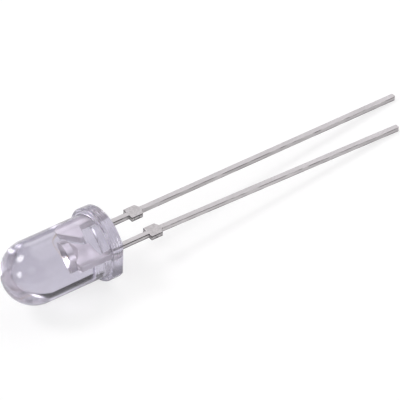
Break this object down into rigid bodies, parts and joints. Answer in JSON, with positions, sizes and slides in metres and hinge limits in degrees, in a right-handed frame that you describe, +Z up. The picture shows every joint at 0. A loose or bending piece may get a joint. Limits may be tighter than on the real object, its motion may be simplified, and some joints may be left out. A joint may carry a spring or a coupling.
{
  "type": "through-hole led",
  "caption": "Round water-clear through-hole LED with a domed body, flanged and flatted base, reflector cup inside and straight square leads with stand-off stubs.",
  "frame": {"origin": "centre of the seating face, the flat end of the body that the leads come out of, on the axis of the round body", "axes": "+Z up as the part lies on a surface, with the flange's rim and both lead tips touching it; +X along the leads, which fall away at 5.61 degrees; the cathode lead and the flange's flat are on the -Y side"},
  "size_m": [0.0366, 0.0056, 0.006],
  "materials": {
    "clear_epoxy": "moulded, glossy, water-clear with a faint lilac cast",
    "tinned_steel": "satin tin plate on stamped steel",
    "semiconductor": "polished dark crystal",
    "silver_adhesive": "matt silver-filled adhesive",
    "gold_wire": "bright drawn gold"
  },
  "bodies": {
    "root": {"lens_body": "clear_epoxy", "cathode_lead": "tinned_steel", "anode_lead": "tinned_steel", "led_chip": "semiconductor", "die_attach": "silver_adhesive", "bond_wire": "gold_wire"}
  },
  "joints": []
}
